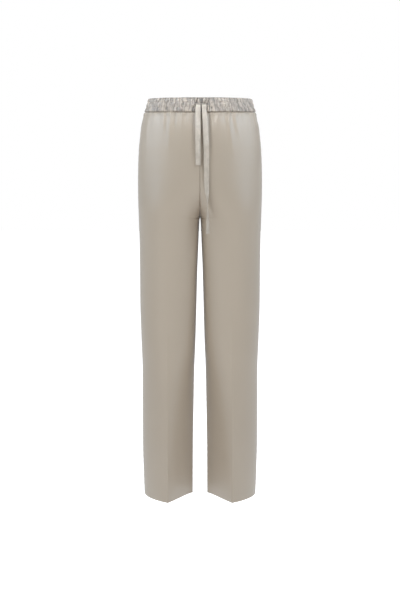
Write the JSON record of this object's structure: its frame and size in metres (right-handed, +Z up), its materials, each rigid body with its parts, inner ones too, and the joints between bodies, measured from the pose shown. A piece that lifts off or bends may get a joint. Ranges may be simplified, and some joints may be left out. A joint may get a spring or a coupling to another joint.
{
  "type": "drawstring trousers",
  "caption": "Full-length satin trousers in their worn, hollow shape: straight wide legs with pressed creases, a gathered elastic waistband and a flat tie hanging at the front.",
  "frame": {"origin": "middle of the waist, at half the height of the waistband", "axes": "+X to the wearer's left, +Y to the wearer's back, +Z up along the body"},
  "size_m": [0.324, 0.2538, 1.0526],
  "materials": {
    "satin": "beige satin, softly shiny",
    "tie_satin": "the same satin, lighter where the tie catches the light"
  },
  "bodies": {
    "root": {"front_left": "satin", "front_right": "satin", "back_left": "satin", "back_right": "satin", "waistband": "satin", "tie_end_left": "tie_satin", "tie_end_right": "tie_satin"}
  },
  "joints": []
}
